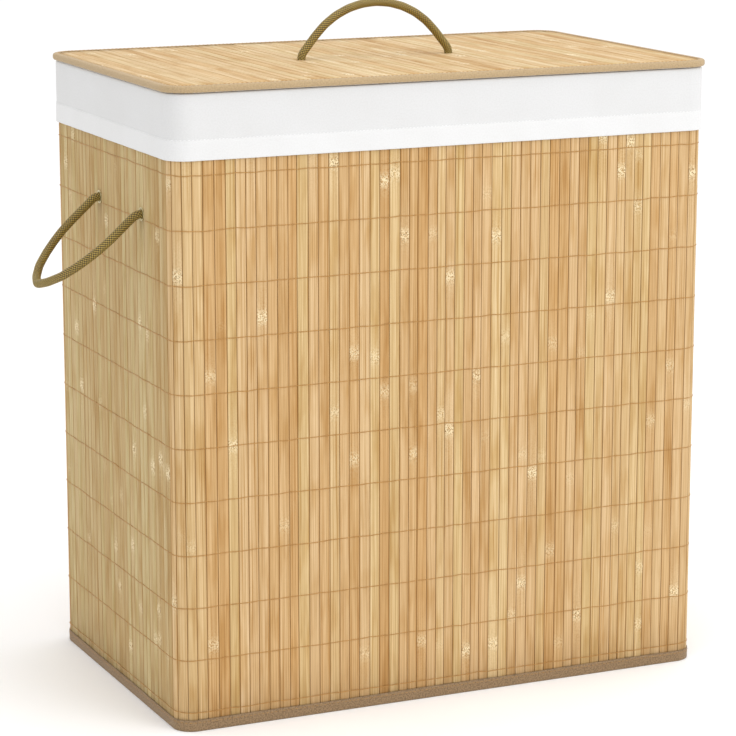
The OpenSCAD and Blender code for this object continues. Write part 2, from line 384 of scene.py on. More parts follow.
@dataclass(frozen=True)
class Bamboo:
    """Split bamboo, planed and lacquered: warm tan strips with long fibres and pale knuckles.

    The lacquer gives a satin gleam along each strip. Every strip has its own tone, fine
    fibre streaks 0.7 mm apart and slow stains along it, and goes brown at its edges: partly the
    strip's own browner edge, partly painted shade in the seams between strips.

    Attributes:
        name: the material's name.
        tones: strip colours, from the rare dark ones to the rare pale ones.
        pale: colour of the bleached skin at a knuckle.
        fleck: colour of the dark flecks there.
        seam: colour of a strip's edges, partly their own brown and partly painted shade in the seams.
    """

    name: str
    tones: tuple[tuple[float, str], ...]
    pale: str = "#ead8b0"
    fleck: str = "#7d5a2e"
    seam: str = "#9a7242"

    def make(self) -> bpy.types.Material:
        """Builds the material.

        Returns:
            The new material.
        """
        r = Recipe(self.name, Roughness=0.58, Specular_IOR_Level=0.1)
        tone, seed, knuckle, edge = (
            r.add("Attribute", {"attribute_name": key}).outputs["Fac"] for key in ("tone", "seed", "knuckle", "edge")
        )
        chart = r.add("SeparateXYZ", links={0: r.add("UVMap", {"uv_map": "chart"}).outputs[0]})
        own = r.add("Math", {"operation": "MULTIPLY", 1: 40.0}, {0: seed}).outputs[0]
        here = r.add("CombineXYZ", links={0: chart.outputs[0], 1: chart.outputs[1], 2: own}).outputs[0]

        def grain(across: float, along: float, detail: float) -> bpy.types.NodeSocket:
            """Noise whose marks are across wide and along long, in metres, different on each strip."""
            scaled = r.add("VectorMath", {"operation": "MULTIPLY", 1: (1 / across, 1 / along, 1.0)}, {0: here})
            settings = {"Scale": 1.0, "Detail": detail, "Roughness": 0.5}
            return r.add("TexNoise", settings, {"Vector": scaled.outputs[0]}).outputs["Fac"]

        streak = grain(1.7 * MM, 420 * MM, 1.0)
        fibre = grain(0.55 * MM, 70 * MM, 1.0)
        hair = grain(0.9 * MM, 150 * MM, 0.0)
        stain = grain(12 * MM, 60 * MM, 2.0)
        speck = grain(1.3 * MM, 1.7 * MM, 2.0)
        colour = r.ramp(tone, *self.tones)
        colour = r.blend(1.0, colour, r.ramp(streak, (0.4, "#f0ebe1"), (0.6, "#ffffff")), "MULTIPLY")
        colour = r.blend(1.0, colour, r.ramp(fibre, (0.38, "#eae2d6"), (0.6, "#ffffff")), "MULTIPLY")
        colour = r.blend(1.0, colour, r.ramp(hair, (0.62, "#ffffff"), (0.72, "#e6d8c0")), "MULTIPLY")
        colour = r.blend(1.0, colour, r.ramp(stain, (0.3, "#efe5d2"), (0.52, "#ffffff")), "MULTIPLY")
        patchy = r.add("Math", {"operation": "MULTIPLY", "use_clamp": True}, {0: knuckle, 1: r.ramp(
            speck, (0.40, "#000000"), (0.52, "#ffffff"))}).outputs[0]
        colour = r.blend(patchy, colour, self.pale)
        flecks = r.add("Math", {"operation": "MULTIPLY", "use_clamp": True}, {0: knuckle, 1: r.ramp(
            grain(0.9 * MM, 1.4 * MM, 1.0), (0.56, "#000000"), (0.64, "#ffffff"))}).outputs[0]
        colour = r.blend(flecks, colour, self.fleck)
        # The edges turn to the seam colour: partly the strips' own browner edge, partly painted shade in the gaps
        # between strips.
        r.feed(Base_Color=r.blend(edge, colour, self.seam))
        r.bump(r.add("Math", {"operation": "ADD"}, {0: streak, 1: fibre}).outputs[0], 0.12 * MM, 0.5)
        return r.material


@dataclass(frozen=True)
class Woven:
    """Plain-woven cloth or tape: threads that cross over and under, with a soft nap.

    The weave shows as a fine even grain, the nap as a sheen at the edges of folds. The
    colour drifts a little, and a marked band, such as a hem, takes its own colour.

    Attributes:
        name: the material's name.
        colour: the cloth's colour.
        shade: its colour between the threads, painted shade in the hollows of the weave.
        band: colour where the value "band" is 1.
        pitch: distance between threads, in metres, drawn coarser than the real 0.4 mm so it shows.
        relief: depth of the weave, in metres.
        nap: how much sheen the nap gives.
        rough: roughness of the threads.
        speckle: how much the yarn's colour is flecked.
    """

    name: str
    colour: str
    shade: str
    band: str
    pitch: float = 0.9 * MM
    relief: float = 0.12 * MM
    nap: float = 0.1
    rough: float = 0.85
    speckle: float = 0.05

    def make(self) -> bpy.types.Material:
        """Builds the material.

        Returns:
            The new material.
        """
        r = Recipe(self.name, Roughness=self.rough, IOR=1.46, Sheen_Weight=self.nap, Sheen_Roughness=0.5)
        chart = r.add("UVMap", {"uv_map": "chart"}).outputs[0]
        turns = r.add("VectorMath", {"operation": "SCALE", "Scale": math.pi / self.pitch}, {0: chart})
        split = r.add("SeparateXYZ", links={0: turns.outputs[0]})
        warp, weft = (
            r.add("Math", {"operation": "SINE"}, {0: split.outputs[i]}).outputs[0] for i in (0, 1)
        )
        cross = r.add("Math", {"operation": "MULTIPLY"}, {0: warp, 1: weft}).outputs[0]
        weave = r.add("Math", {"operation": "ABSOLUTE"}, {0: cross}).outputs[0]
        slub = r.add("TexNoise", {"Scale": 650.0, "Detail": 2.0}, {"Vector": chart}).outputs["Fac"]
        drift = r.add("TexNoise", {"Scale": 14.0, "Detail": 2.0}, {"Vector": chart}).outputs["Fac"]
        band = r.add("Attribute", {"attribute_name": "band"}).outputs["Fac"]
        colour = r.blend(band, self.colour, self.band)
        # Painted shade: the colour darkens towards shade in the hollows between the threads.
        colour = r.blend(r.ramp(weave, (0.1, "#7a7a7a"), (0.5, "#000000")), colour, self.shade)
        colour = r.blend(self.speckle, colour, r.ramp(slub, (0.35, "#8f8578"), (0.6, "#ffffff")), "MULTIPLY")
        colour = r.blend(0.1, colour, r.ramp(drift, (0.35, "#e4e2de"), (0.6, "#ffffff")), "MULTIPLY")
        r.feed(Base_Color=colour)
        height = r.add("Math", {"operation": "ADD"}, {0: weave, 1: slub}).outputs[0]
        r.bump(height, self.relief, 0.6)
        return r.material


@dataclass(frozen=True)
class BraidedCord:
    """Braided cord: satin threads laid over and under, with a painted highlight on their crowns and painted shade
    between them.

    The value "crown" is the height of a strand, and "lay" runs along it, so each strand
    shows its own fine threads, about 0.35 mm apart.
    """

    name: str = "braided_cord_olive"
    # Colours by strand height: crown is the cord's olive lightened as a painted highlight, flank its plain olive,
    # deep the painted shade between strands.
    crown: str = "#c6ab54"
    flank: str = "#917a2f"
    deep: str = "#3b2f0f"

    def make(self) -> bpy.types.Material:
        """Builds the material.

        Returns:
            The new material.
        """
        r = Recipe(self.name, Roughness=0.5, IOR=1.5, Sheen_Weight=0.1, Sheen_Roughness=0.4)
        crown, lay = (r.add("Attribute", {"attribute_name": key}).outputs["Fac"] for key in ("crown", "lay"))
        here = r.add("TexCoord").outputs["Object"]
        fuzz = r.add("TexNoise", {"Scale": 900.0, "Detail": 2.0}, {"Vector": here}).outputs["Fac"]
        wear = r.add("TexNoise", {"Scale": 35.0, "Detail": 3.0}, {"Vector": here}).outputs["Fac"]
        turns = r.add("Math", {"operation": "MULTIPLY", 1: 2 * math.pi / (0.35 * MM)}, {0: lay}).outputs[0]
        thread = r.add("Math", {"operation": "SINE"}, {0: turns}).outputs[0]
        # Painted shade deep in the grooves between strands, plain olive on the flanks, a painted highlight on the
        # crowns.
        colour = r.ramp(crown, (0.32, self.deep), (0.58, self.flank), (0.86, self.crown))
        colour = r.blend(0.6, colour, r.ramp(fuzz, (0.3, "#d4ccb8"), (0.65, "#ffffff")), "MULTIPLY")
        colour = r.blend(0.5, colour, r.ramp(wear, (0.35, "#e2d8c0"), (0.6, "#ffffff")), "MULTIPLY")
        r.feed(Base_Color=colour)
        height = r.add("Math", {"operation": "MULTIPLY_ADD", 1: 0.3}, {0: thread, 2: fuzz}).outputs[0]
        r.bump(height, 0.08 * MM, 0.5)
        return r.material


@dataclass(frozen=True)
class Plain:
    """A hard or stranded material with grain on Object coordinates: metal, fibreboard or thread.

    Attributes:
        name: the real material's name.
        colour: its main colour.
        mark: colour of its scuffs, fibres or tarnish.
        grain: size of the marks, in metres.
        rough: roughness.
        metallic: 1 for a metal.
        relief: depth of the marks, in metres.
    """

    name: str
    colour: str
    mark: str
    grain: float
    rough: float
    metallic: float = 0.0
    relief: float = 0.03 * MM

    def make(self) -> bpy.types.Material:
        """Builds the material.

        Returns:
            The new material.
        """
        r = Recipe(self.name, Metallic=self.metallic)
        here = r.add("TexCoord").outputs["Object"]
        noise = r.add("TexNoise", {"Scale": 1 / self.grain, "Detail": 4.0}, {"Vector": here}).outputs["Fac"]
        r.feed(Base_Color=r.ramp(noise, (0.35, self.mark), (0.62, self.colour)))
        spread = {"From Min": 0.3, "From Max": 0.7, "To Min": self.rough * 0.8, "To Max": self.rough * 1.2}
        r.feed(Roughness=r.add("MapRange", spread, {"Value": noise}).outputs[0])
        r.bump(noise, self.relief, 0.4)
        return r.material


@dataclass(frozen=True)
class Finishes:
    """Every finish of the hamper, made once and shared."""

    wall_bamboo: bpy.types.Material
    shaded_side_bamboo: bpy.types.Material
    lid_bamboo: bpy.types.Material
    cotton: bpy.types.Material
    lining: bpy.types.Material
    bottom_tape: bpy.types.Material
    lid_tape: bpy.types.Material
    cord: bpy.types.Material
    thread: bpy.types.Material
    white_thread: bpy.types.Material
    eyelet: bpy.types.Material
    steel: bpy.types.Material
    rim_tape: bpy.types.Material
    board: bpy.types.Material

    @staticmethod
    def make() -> "Finishes":
        """Makes the whole set.

        Returns:
            The finishes, each with its material made.
        """
        wall_stops, lid_stops = (0.0, 0.06, 0.3, 0.6, 0.85, 1.0), (0.0, 0.15, 0.4, 0.65, 0.85, 1.0)
        wall_tones = tuple(zip(wall_stops, ("#cba471", "#d1af80", "#d5b68b", "#d8bb91", "#d6bc8d", "#ddc498")))
        # A darker, greener copy of the wall tones for the left and right runs: painted shade for the sides that face
        # away from the light.
        shaded_side_tones = tuple(zip(wall_stops, ("#b89b69", "#bfa576", "#c5ae82", "#c9b48a", "#c6b486", "#d0c097")))
        lid_tones = tuple(zip(lid_stops, ("#cbab7c", "#d1b386", "#d6bc93", "#d9c19b", "#d6c198", "#e1ceaa")))
        return Finishes(
            wall_bamboo=Bamboo("lacquered_bamboo_strips", wall_tones).make(),
            shaded_side_bamboo=Bamboo("greener_bamboo_strips", shaded_side_tones).make(),
            lid_bamboo=Bamboo("pale_bamboo_strips", lid_tones, pale="#ead8b2", seam="#b08a57").make(),
            cotton=Woven("white_cotton_poplin", "#d5d5d5", "#cecece", "#dddddd", relief=0.05 * MM).make(),
            lining=Woven("unbleached_lining_cotton", "#d8cfbb", "#b3a88f", "#d8cfbb").make(),
            bottom_tape=Woven(
                "brown_herringbone_tape", "#9a7f5e", "#77603f", "#8a6c4b", relief=0.2 * MM, speckle=0.6,
            ).make(),
            lid_tape=Woven(
                "tan_binding_tape", "#b9a07a", "#9a8160", "#b9a07a", relief=0.15 * MM, speckle=0.25,
            ).make(),
            cord=BraidedCord().make(),
            thread=Plain("waxed_brown_thread", "#bd8d49", "#976829", 0.6 * MM, 0.5).make(),
            white_thread=Plain("white_sewing_thread", "#f4f4f4", "#d9d9d9", 0.4 * MM, 0.6).make(),
            eyelet=Plain("pale_brass_pressed", "#cfc39a", "#a08f5e", 1.5 * MM, 0.3, metallic=1.0).make(),
            steel=Plain("drawn_steel_wire", "#b9bbbe", "#8d9094", 1.2 * MM, 0.35, metallic=1.0).make(),
            rim_tape=Plain("brown_cotton_tape", "#8f7351", "#6f5638", 0.9 * MM, 0.85).make(),
            board=Plain("pressed_fibreboard", "#9a7247", "#6e4d2c", 2.0 * MM, 0.8, relief=0.1 * MM).make(),
        )


# ---- Slats ----


@dataclass
class Slats:
    """Bamboo strips laid side by side: how one is cut and how much they differ.

    Attributes:
        thickness: of a strip.
        gap: the space left at each edge, too small to see through.
        lean: how far a seam may lean over a strip's length.
        uneven: how far strips stand in or out of line.
        body_rings: rings along a strip, besides those round its knuckles.
        bulge: how far a knuckle stands out.
    """

    thickness: float
    gap: float = 0.05 * MM
    lean: float = 0.35 * MM
    uneven: float = 0.12 * MM
    body_rings: int = 12
    bulge: float = 0.3 * MM

    # A strip's section from its left edge over the face and back: which share of the half
    # width, how far in from it, and how deep under the face. The last four are the back.
    SHARE = np.array([-1, -1, -1, -1, -0.5, 0, 0.5, 1, 1, 1, 1, 1, 1, -1, -1])
    INWARD = np.array([0, 0.14, 0.42, 0.95, 0, 0, 0, -0.95, -0.42, -0.14, 0, 0, -0.5, 0.5, 0]) * MM
    DEPTH = np.array([0.95, 0.48, 0.17, 0.05, 0, 0.03, 0, 0.05, 0.17, 0.48, 0.95, 0, 0, 0, 0]) * MM
    BACK = np.array([0, 0, 0, 0, 0, 0, 0, 0, 0, 0, 0, 0.8, 1, 1, 0.8])
    KNUCKLE_RINGS = np.array([-9, -5, -2.2, 0, 2.2, 5, 9]) * MM

    def lines(self, start: float, stop: float, pitch: float, rng: np.random.Generator,
              holes: tuple[float, ...] = (), hole_width: float = 10.2 * MM) -> ndarray:
        """Seams between strips of slightly different widths, with one strip centred on each hole.

        The seams are the running sum of the widths, stretched between fixed places: both
        ends and both edges of each strip that has a hole.

        Args:
            start: where the first strip begins.
            stop: where the last one ends.
            pitch: the usual width.
            rng: the source of chance.
            holes: middles of the holes, in order.
            hole_width: width of a strip that has a hole.

        Returns:
            The seams' places, one more than the strips.
        """
        count = round((stop - start) / pitch)
        widths = rng.normal(1.0, 0.075, count).clip(0.8, 1.2)
        seams = start + (stop - start) * np.concatenate([[0], np.cumsum(widths)]) / widths.sum()
        known, wanted = [start], [start]
        for middle in holes:
            first = int(np.abs((seams[:-1] + seams[1:]) / 2 - middle).argmin())
            known += [seams[first], seams[first + 1]]
            wanted += [middle - hole_width / 2, middle + hole_width / 2]
        return np.interp(seams, known + [stop], wanted + [stop])

    def cut(self, seams: ndarray, low: Callable[[ndarray], ndarray], high: Callable[[ndarray], ndarray],
            place: Callable[[ndarray, ndarray, ndarray], ndarray], rng: np.random.Generator,
            holes: tuple[tuple[float, float], ...] = (), hole_r: float = 0.0) -> Skin:
        """Cuts a run of strips.

        Across a strip a point lies at its middle plus a share of its half width. Along it, a
        point lies between the run's ends, or stops at a hole's circle. The face bulges at
        the knuckles by a bell curve, exp(-(distance / width) squared).

        Args:
            seams: places of the seams across the run.
            low: where the run begins along the strips, for places across it.
            high: where it ends.
            place: turns across, outwards and along into a place in the frame.
            rng: the source of chance.
            holes: middles of the rope holes, as across and along.
            hole_r: their radius.

        Returns:
            The strips' surface, with tone, seed, knuckle and edge values.
        """
        count = len(seams) - 1
        cut = [int(np.searchsorted(seams, across)) - 1 for across, _ in holes]
        strip = np.concatenate([np.arange(count), cut]).astype(int)
        end = np.zeros(len(strip))
        end[cut], end[count:] = -1, 1
        hole = np.zeros((len(strip), 2))
        hole[cut] = hole[count:] = np.array(holes).reshape(-1, 2)

        tone, seed, stand, tilt = (rng.random(count) for _ in range(4))
        knuckle_at = np.sort(rng.uniform(0.06, 0.94, (count, 2)), axis=1)
        knuckle_by = (1.7 * rng.random((count, 2)) - 0.6).clip(0, 1)
        leaning = rng.normal(0, self.lean / 2, count + 1)
        leaning[[0, -1]] = 0

        middle = (seams[strip] + seams[strip + 1]) / 2
        first, last = low(middle), high(middle)
        first = np.where(end > 0, hole[:, 1] + hole_r, first)
        last = np.where(end < 0, hole[:, 1] - hole_r, last)
        run = (last - first)[:, None]
        around = (knuckle_at[strip][:, :, None] + self.KNUCKLE_RINGS / run[:, :, None]).reshape(len(strip), -1)
        level = np.broadcast_to(np.linspace(0, 1, self.body_rings), (len(strip), self.body_rings))
        level = np.sort(np.concatenate([level, around.clip(0.004, 0.996)], axis=1), axis=1)

        left = seams[strip][:, None] + leaning[strip][:, None] * (level - 0.5)
        right = seams[strip + 1][:, None] + leaning[strip + 1][:, None] * (level - 0.5)
        half = (right - left)[:, :, None] / 2 - self.gap
        across = (left + right)[:, :, None] / 2 + self.SHARE * half + self.INWARD
        circle = np.sqrt(np.clip(hole_r**2 - (across - hole[:, 0, None, None]) ** 2, 0, None))
        ends = end[:, None, None]
        start = np.where(ends > 0, hole[:, 1, None, None] + circle, low(across))
        stop = np.where(ends < 0, hole[:, 1, None, None] - circle, high(across))
        along = start + level[:, :, None] * (stop - start)

        away = (level[:, :, None] - knuckle_at[strip][:, None]) * run[:, :, None]
        by = knuckle_by[strip][:, None]
        bulge = self.bulge * (by * np.exp(-((away / (2.5 * MM)) ** 2))).sum(-1)
        knuckle = (by * np.exp(-((away / (6.5 * MM)) ** 2))).sum(-1)
        face = 1 - self.BACK
        out = -self.DEPTH - self.BACK * self.thickness + face * bulge[:, :, None]
        out = out + (self.uneven * (2 * stand[strip] - 1))[:, None, None] * face
        out = out + (0.1 * MM * (2 * tilt[strip] - 1))[:, None, None] * face * self.SHARE

        middles = (left + right)[:, :, None] / 2
        chart = np.stack(np.broadcast_arrays(across - middles, along), axis=-1)
        return Skin(
            place(across, out, along),
            values={
                "tone": tone[strip][:, None, None],
                "seed": seed[strip][:, None, None],
                "knuckle": knuckle[:, :, None].clip(0, 1),
                # edge: share of the seam colour, high on the faces that curve down into the gaps and on the backs;
                # painted shade in part.
                "edge": ((self.DEPTH - 0.1 * MM) / (0.5 * MM) + self.BACK).clip(0, 0.8),
            },
            chart=np.concatenate([chart, chart[:, :, :1]], axis=2),
        )


@dataclass
class WallMat:
    """The stitched bamboo mat that goes round the body: four flat runs and four corners.

    Attributes:
        outline: the mat's outer face seen from above.
        low: height of its lower edge.
        high: height of its upper edge.
        pitch: width that one slat takes up.
        hole_z: height of the rope holes.
        hole_y: places of the left rope holes from front to back; the right ones mirror them.
        hole_r: radius of the holes.
        thread_low: height of the lowest row of thread.
        thread_step: height from one row to the next.
        thread_r: radius of the thread.
    """

    outline: Outline
    low: float
    high: float
    pitch: float
    hole_z: float
    hole_y: tuple[float, float]
    hole_r: float = 5.1 * MM
    thread_low: float = 18 * MM
    thread_step: float = 49.9 * MM
    thread_r: float = 0.36 * MM
    slats: Slats = field(default_factory=lambda: Slats(3 * MM))
    seams: list[ndarray] = field(default_factory=list)

    def hole_places(self, side: Side) -> tuple[float, float]:
        """How far along the outline a side's two holes are, in order."""
        stops = self.outline.stops()
        front = -(self.outline.half_d - self.outline.radius)
        if side is Side.RIGHT:
            return tuple(stops[2] - y - front for y in sorted(self.hole_y, reverse=True))
        return tuple(stops[6] - front - y for y in sorted(self.hole_y, reverse=True))

    def run(self, number: int, rng: np.random.Generator) -> Skin:
        """Cuts the slats of one of the eight stretches of the outline.

        Args:
            number: the stretch, counted from the front; odd ones are corners.
            rng: the source of chance.

        Returns:
            The slats' surface.
        """
        start, stop = self.outline.stops()[number:number + 2]
        middles = {2: Side.RIGHT, 6: Side.LEFT}.get(number)
        holes = self.hole_places(middles) if middles else ()
        seams = self.slats.lines(start, stop, self.pitch, rng, holes, 2 * self.hole_r)
        self.seams.append(seams)
        return self.slats.cut(
            seams,
            lambda s: np.full_like(s, self.low),
            lambda s: np.full_like(s, self.high),
            self.outline.place,
            rng,
            tuple((s, self.hole_z) for s in holes),
            self.hole_r,
        )

    def join(self, skins: list[Skin]) -> Skin:
        """Puts runs with the same number of rings into one surface."""
        values = {
            key: np.concatenate([np.broadcast_to(s.values[key], s.points.shape[:3]) for s in skins])
            for key in skins[0].values
        }
        chart = np.concatenate([s.chart for s in skins])
        return Skin(np.concatenate([s.points for s in skins]), values=values, chart=chart)

    def threads(self, rng: np.random.Generator) -> Skin:
        """Rows of thread that cross each slat and dip into the seams beside it.

        Out from the mat, a thread follows the sine of its way across a slat to the power
        0.35, so it lies on the face and dips at the seams. It is pushed under the eyelets.

        Args:
            rng: the source of chance.

        Returns:
            The threads' surface, one loop for each row.
        """
        seams = np.concatenate([s[:-1] for s in self.seams])
        widths = np.diff(np.append(seams, self.outline.total))
        share = np.array([0, 0.1, 0.28, 0.5, 0.72, 0.9])
        s = (seams[:, None] + widths[:, None] * share).ravel()
        rows = self.thread_low + self.thread_step * np.arange(
            int((self.high - self.thread_low) / self.thread_step) + 1)
        out = np.tile(-0.45 * MM + 0.75 * MM * np.sin(np.pi * share) ** 0.35, len(seams))
        out = np.broadcast_to(out, (len(rows), len(s))).copy()
        for side in Side:
            for place in self.hole_places(side):
                near = (np.abs(s - place) < 8 * MM) & (np.abs(rows[:, None] - self.hole_z) < 8 * MM)
                out[near] = -0.8 * MM
        sway = rng.normal(0, 0.28 * MM, (len(rows), len(seams)))
        sway = np.concatenate([sway, sway[:, :1]], axis=1)
        z = rows[:, None] + np.stack([np.interp(s, np.append(seams, self.outline.total), row) for row in sway])
        turn = np.arange(5) * 2 * np.pi / 5
        return Skin(
            self.outline.place(
                s[None, :, None],
                out[:, :, None] + self.thread_r * np.cos(turn),
                z[:, :, None] + self.thread_r * np.sin(turn),
            ),
            Way.LOOP,
        )

    def build(self, finishes: Finishes) -> None:
        """Builds the mat's runs, corners and threads, and dresses them.

        Args:
            finishes: the shared finishes.
        """
        rng = np.random.default_rng(MAT_SEED)
        skins = [self.run(number, rng) for number in range(8)]
        parts = {
            "front_mat": ([0], "front_slats"),
            "right_mat": ([2], "right_slats"),
            "back_mat": ([4], "back_slats"),
            "left_mat": ([6], "left_slats"),
            "corner_mat": ([1, 3, 5, 7], "corner_slats"),
        }
        for name, (numbers, node) in parts.items():
            piece = self.join([skins[n] for n in numbers]).build(name)
            # The left and right runs take the darker bamboo copy, painted shade for the sides away from the light.
            sideways = name in ("left_mat", "right_mat")
            piece.data.materials.append(finishes.shaded_side_bamboo if sideways else finishes.wall_bamboo)
            ride_as(piece, "hamper", "wall_bamboo", node)
        threads = self.threads(rng).build("mat_threads")
        threads.data.materials.append(finishes.thread)
        ride_as(threads, "hamper", "thread", "stitch_threads")
        LOG.info("wall mat: %d slats", sum(len(s) - 1 for s in self.seams))


# ---- Tapes, stitches and cloth ----


@dataclass
class Tape:
    """A woven tape folded round an edge and sewn through.

    Attributes:
        name: the piece's name.
        outline: the edge that it follows.
        section: the tape's closed section, as distance out and height.
        stitch_out: how far out the row of stitches lies.
        stitch_z: the height of that row.
        flat: True if the stitches lie on a level face, False if they lie on an upright one.
        pucker: how far the tape draws in at each stitch.
    """

    name: str
    outline: Outline
    section: ndarray
    stitch_out: float
    stitch_z: float
    flat: bool
    pucker: float = 0.12 * MM
    stitch: float = 4.2 * MM
    rings: int = 840

    def skin(self) -> Skin:
        """The tape itself: its section carried round, drawn in by a cosine of the stitch spacing.

        Returns:
            The surface, with its chart in metres along and round the section.
        """
        s = self.outline.spaced(self.rings)[:, None]
        out, z = self.section.T
        stitches = round(self.outline.total / self.stitch)
        wave = self.pucker * np.cos(2 * np.pi * stitches * s / self.outline.total)
        drift = 0.25 * MM * np.sin(2 * np.pi * 9 * s / self.outline.total)
        upper = (z - z.min()) / np.ptp(z)
        if self.flat:
            out, z = out + 0 * wave, z + 0.5 * wave
        else:
            out, z = out + wave * upper, z + drift * upper
        points = self.outline.place(s, out, z)
        steps = np.linalg.norm(np.diff(self.section, axis=0, append=self.section[:1]), axis=1)
        around = np.concatenate([[0], np.cumsum(steps)])
        along = np.append(self.outline.spaced(self.rings), self.outline.total)
        chart = np.stack(np.meshgrid(along, around, indexing="ij"), axis=-1)
        return Skin(points[None], Way.LOOP, {"band": np.zeros(1)}, chart[None])

    def stitches(self) -> Skin:
        """The row of stitches: short humps, each a tube whose radius and height swell by a sine."""
        return stitch_row(self.outline, self.stitch_out, self.stitch_z, self.stitch, self.flat)

    def build(self, tape: bpy.types.Material, thread: bpy.types.Material, body: str, node: str) -> None:
        """Builds the tape and its stitches.

        Args:
            tape: the tape's finish.
            thread: the stitches' finish.
            body: what it rides on.
            node: the CAD node that the tape stands for.
        """
        made = self.skin().build(self.name)
        made.data.materials.append(tape)
        ride_as(made, body, "binding_tape", node)
        sewn = self.stitches().build(self.name + "_stitches")
        sewn.data.materials.append(thread)
        ride_as(sewn, body, "binding_tape")
        LOG.info("%s: %.2f m of tape", self.name, self.outline.total)


def stitch_row(outline: Outline, out: float, z: float, spacing: float, flat: bool) -> Skin:
    """Stitches in a row round an outline.

    Each is a tube 0.6 of the spacing long. Its radius and its height over the cloth follow
    the sine of the way along it.

    Args:
        outline: what the row follows.
        out: how far out the row lies.
        z: the row's height.
        spacing: from one stitch to the next.
        flat: True if the cloth under it is level.

    Returns:
        The stitches' surface.
    """
    count = round(outline.total / spacing)
    share = np.linspace(0.04, 0.96, 5)
    swell = np.sin(np.pi * share)[None, :, None]
    turn = np.arange(5) * 2 * np.pi / 5
    s = (outline.spaced(count)[:, None] + share * 0.62 * spacing)[:, :, None]
    lift = 0.28 * MM * swell - 0.1 * MM
    radius = 0.12 * MM + 0.14 * MM * swell
    over, beside = lift + radius * np.cos(turn), radius * np.sin(turn)
    place_out, place_z = (beside, over) if flat else (over, beside)
    return Skin(outline.place(s, out + place_out, z + place_z))


